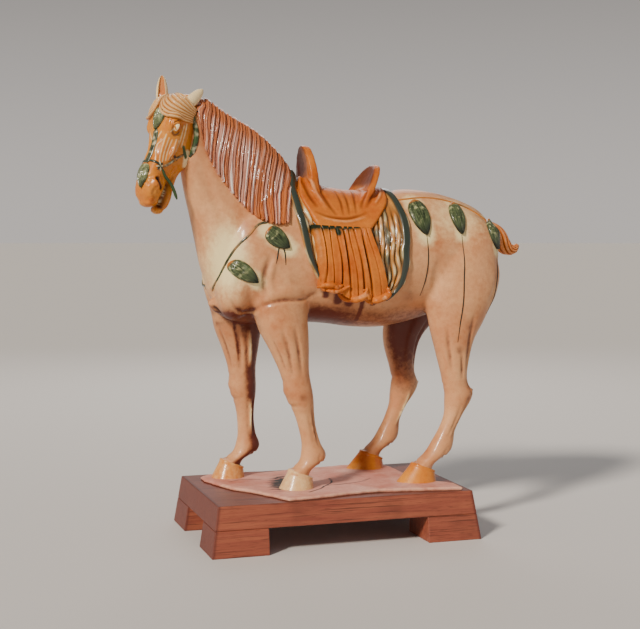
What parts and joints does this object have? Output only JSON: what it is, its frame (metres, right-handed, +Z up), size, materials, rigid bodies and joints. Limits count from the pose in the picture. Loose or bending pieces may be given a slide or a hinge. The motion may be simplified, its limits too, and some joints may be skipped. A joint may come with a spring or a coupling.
{
  "type": "lead-glazed pottery horse on a wooden stand",
  "caption": "Standing saddled pottery horse in cream, amber and green lead glazes, head turned to its left, on a battered hardwood plank stand with corner feet.",
  "frame": {"origin": "under the middle of the whole object's box, on the floor", "axes": "+Z up, -X the way the horse faces, -Y the horse's left, which is the side with the mane"},
  "size_m": [0.7092, 0.3026, 0.7752],
  "materials": {
    "glaze": "crackled cream lead glaze with amber and green splashes",
    "hardwood": "reddish-brown stained hardwood with worn edges"
  },
  "bodies": {
    "root": {"horse": "glaze", "stand_deck": "hardwood", "stand_foot_front_left": "hardwood", "stand_foot_front_right": "hardwood", "stand_foot_back_left": "hardwood", "stand_foot_back_right": "hardwood"}
  },
  "joints": []
}
